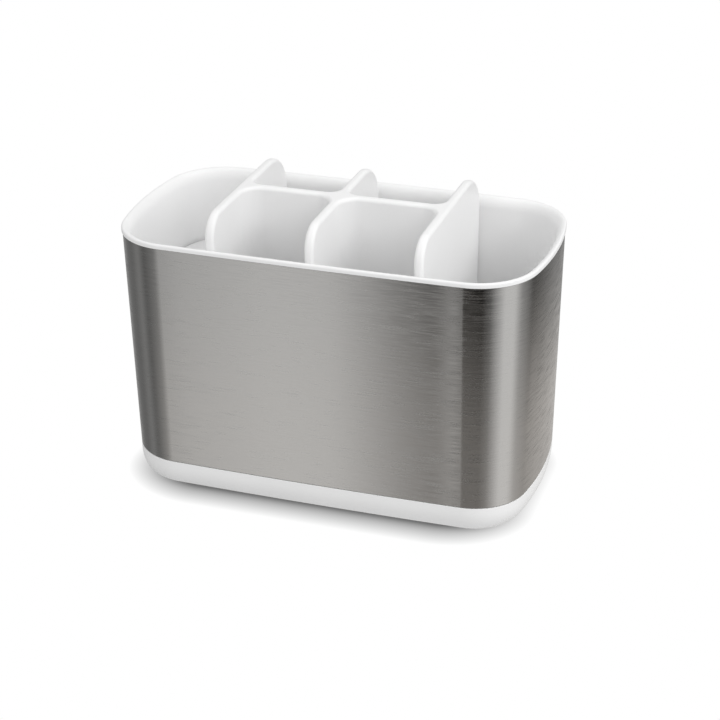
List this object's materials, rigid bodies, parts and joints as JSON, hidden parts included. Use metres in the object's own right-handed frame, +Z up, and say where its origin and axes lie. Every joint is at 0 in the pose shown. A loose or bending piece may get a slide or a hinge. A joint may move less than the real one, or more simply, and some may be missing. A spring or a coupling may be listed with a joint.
{
  "type": "toothbrush holder",
  "caption": "Countertop toothbrush holder: a rounded brushed steel sleeve round a white bin, with a lift-out divider and shelf, on a white drip base with soft feet.",
  "frame": {"origin": "on the surface the holder stands on, under the middle of its plan", "axes": "+X to the right as seen from the front, -Y towards the front, +Z up"},
  "size_m": [0.186, 0.0964, 0.1307],
  "materials": {
    "white_plastic": "white moulded polypropylene, fine satin texture",
    "brushed_steel": "stainless sheet, brushed along its length",
    "soft_pad": "matte soft elastomer, pale grey"
  },
  "bodies": {
    "base": {"base_tray": "white_plastic", "foot_front_left": "soft_pad", "foot_front_right": "soft_pad", "foot_rear_left": "soft_pad", "foot_rear_right": "soft_pad"},
    "bin": {"inner_bin": "white_plastic", "steel_sleeve": "brushed_steel"},
    "divider": {"divider_insert": "white_plastic"}
  },
  "joints": [
    {"name": "bin_lift", "type": "slide", "parent": "base", "child": "bin", "axis": [0, 0, 1], "range_m": [0, 0.03]},
    {"name": "divider_lift", "type": "slide", "parent": "bin", "child": "divider", "axis": [0, 0, 1], "range_m": [0, 0.115]}
  ]
}
